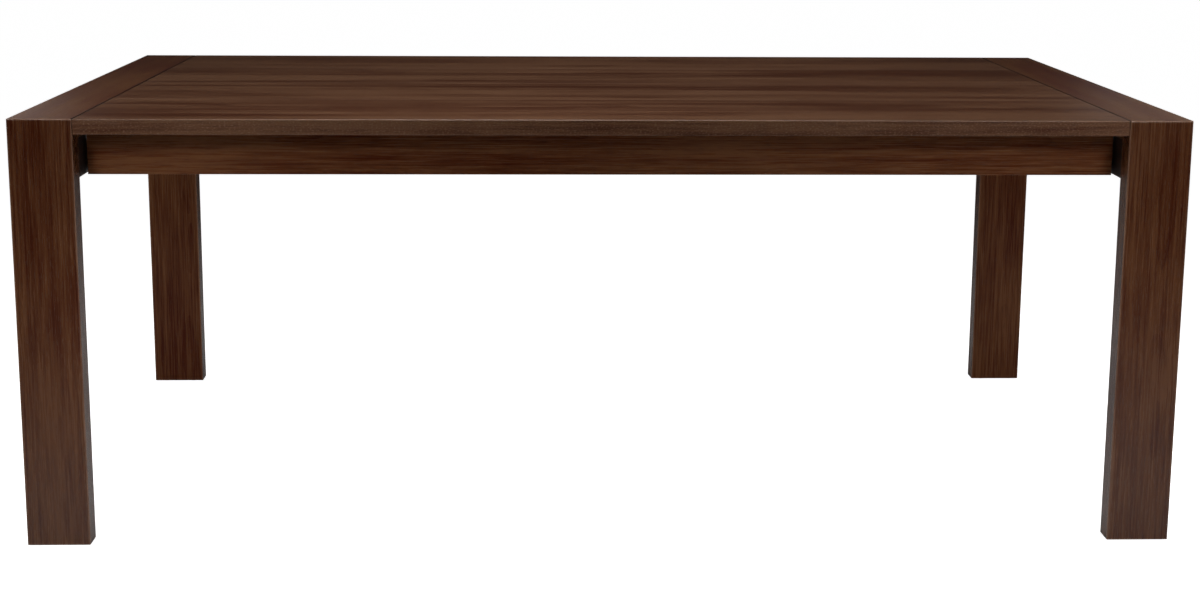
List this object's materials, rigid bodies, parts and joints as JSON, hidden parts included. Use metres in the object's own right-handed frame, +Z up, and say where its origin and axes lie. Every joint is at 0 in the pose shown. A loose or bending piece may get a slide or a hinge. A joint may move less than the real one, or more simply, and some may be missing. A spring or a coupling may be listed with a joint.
{
  "type": "extending dining table",
  "caption": "Long dining table whose mitred plank end frames draw out on runners from a flush board top, to make room for loose leaves at its ends.",
  "frame": {"origin": "on the floor, under the middle of the closed table", "axes": "+X along the table's length, +Y towards the rear long side, +Z up; the pictured front is at -Y"},
  "size_m": [2.032, 1.067, 0.762],
  "materials": {
    "walnut_top": "dark walnut stain, satin lacquer, grain along the length",
    "walnut_frame": "dark walnut stain, satin lacquer, grain along each plank",
    "walnut_under": "dark walnut stain, thin matt lacquer",
    "beech": "planed and waxed",
    "channel_aluminium": "flat bar, welded up, natural anodised",
    "zinc_steel": "zinc plated",
    "black_steel": "black powder coat, fine texture",
    "nylon": "moulded nylon, matt"
  },
  "bodies": {
    "table_centre": {"apron_block_screws": "zinc_steel", "batten_screws": "zinc_steel", "channel_screws": "zinc_steel", "cross_batten_1": "walnut_under", "cross_batten_2": "walnut_under", "cross_batten_3": "walnut_under", "cross_batten_4": "walnut_under", "cross_batten_5": "walnut_under", "front_apron": "walnut_under", "front_apron_blocks": "walnut_under", "front_guide_channel": "channel_aluminium", "front_middle_top_board": "walnut_top", "front_top_board": "walnut_top", "left_lock_pivot": "zinc_steel", "left_lock_plate": "black_steel", "lock_plate_screws": "zinc_steel", "rear_apron": "walnut_under", "rear_apron_blocks": "walnut_under", "rear_guide_channel": "channel_aluminium", "rear_middle_top_board": "walnut_top", "rear_top_board": "walnut_top", "right_lock_pivot": "zinc_steel", "right_lock_plate": "black_steel", "runner_stop_straps": "black_steel"},
    "left_end": {"left_barrel_nuts": "zinc_steel", "left_corner_brackets": "black_steel", "left_end_board": "walnut_frame", "left_end_rail": "walnut_under", "left_foot_glides": "nylon", "left_frame_screws": "zinc_steel", "left_front_leg": "walnut_frame", "left_front_runner": "beech", "left_lock_keeper": "black_steel", "left_mitre_dowels": "beech", "left_rear_leg": "walnut_frame", "left_rear_runner": "beech", "left_runner_bolts": "zinc_steel", "left_runner_caps": "nylon", "left_stop_pins": "zinc_steel", "left_table_pins": "zinc_steel"},
    "right_end": {"right_barrel_nuts": "zinc_steel", "right_corner_brackets": "black_steel", "right_end_board": "walnut_frame", "right_end_rail": "walnut_under", "right_foot_glides": "nylon", "right_frame_screws": "zinc_steel", "right_front_leg": "walnut_frame", "right_front_runner": "beech", "right_lock_keeper": "black_steel", "right_mitre_dowels": "beech", "right_rear_leg": "walnut_frame", "right_rear_runner": "beech", "right_runner_bolts": "zinc_steel", "right_runner_caps": "nylon", "right_stop_pins": "zinc_steel", "right_table_pins": "zinc_steel"},
    "left_lever": {"left_lock_lever": "black_steel"},
    "right_lever": {"right_lock_lever": "black_steel"}
  },
  "joints": [
    {"name": "left_draw", "type": "slide", "parent": "table_centre", "child": "left_end", "axis": [-1, 0, 0], "range_m": [0, 0.457]},
    {"name": "right_draw", "type": "slide", "parent": "table_centre", "child": "right_end", "axis": [1, 0, 0], "range_m": [0, 0.457]},
    {"name": "left_lock_turn", "type": "hinge", "parent": "table_centre", "child": "left_lever", "pos_m": [-0.8675, 0, 0.706], "axis": [0, 0, -1], "range_deg": [0, 45]},
    {"name": "right_lock_turn", "type": "hinge", "parent": "table_centre", "child": "right_lever", "pos_m": [0.8675, 0, 0.706], "axis": [0, 0, -1], "range_deg": [0, 45]}
  ]
}
